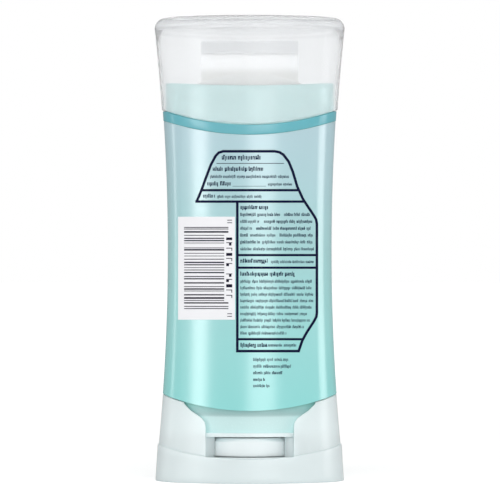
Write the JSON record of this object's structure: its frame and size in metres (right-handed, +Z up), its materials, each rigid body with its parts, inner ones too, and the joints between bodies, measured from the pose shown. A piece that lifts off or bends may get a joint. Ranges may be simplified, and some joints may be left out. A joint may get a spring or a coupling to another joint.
{
  "type": "deodorant stick",
  "caption": "Oval, waisted twist-up deodorant stick: a frosted pull-off over-cap, a domed inner seal, a printed barrel and a windowed base whose dial winds the solid product up.",
  "frame": {"origin": "centre of the base rim, on the surface that the stick stands on", "axes": "+Z up to the over-cap's top, +X to the right across the width with the printed panel facing -Y"},
  "size_m": [0.0602, 0.0366, 0.146],
  "materials": {
    "cap_frost": "frosted, lightly translucent",
    "seal_cream": "satin off-white",
    "product": "waxy solid",
    "carrier_white": "natural moulded",
    "dial_white": "satin white",
    "barrel_teal": "pale teal, glossy",
    "ring_teal": "teal blue, glossy",
    "base_frost": "frosted, lightly translucent"
  },
  "bodies": {
    "pack": {"barrel": "barrel_teal", "base": "base_frost", "shoulder_ring": "ring_teal"},
    "dial_wheel": {"dial": "dial_white"},
    "carrier": {"platform": "carrier_white", "deodorant_stick": "product"},
    "seal": {"inner_seal": "seal_cream"},
    "cap": {"over_cap": "cap_frost"}
  },
  "joints": [
    {"name": "dial_turn", "type": "hinge", "parent": "pack", "child": "dial_wheel", "pos_m": [0, 0, 0.011], "axis": [0, 0, -1], "range_deg": [0, 4680]},
    {"name": "carrier_rise", "type": "slide", "parent": "pack", "child": "carrier", "axis": [0, 0, 1], "range_m": [0, 0.078]},
    {"name": "seal_lift", "type": "slide", "parent": "carrier", "child": "seal", "axis": [0, 0, 1], "range_m": [0, 0.03]},
    {"name": "cap_pull", "type": "slide", "parent": "seal", "child": "cap", "axis": [0, 0, 1], "range_m": [0, 0.04]}
  ],
  "couplings": [
    {"joint": "dial_turn", "follows": "carrier_rise", "rad_per_m": 1047.2}
  ]
}
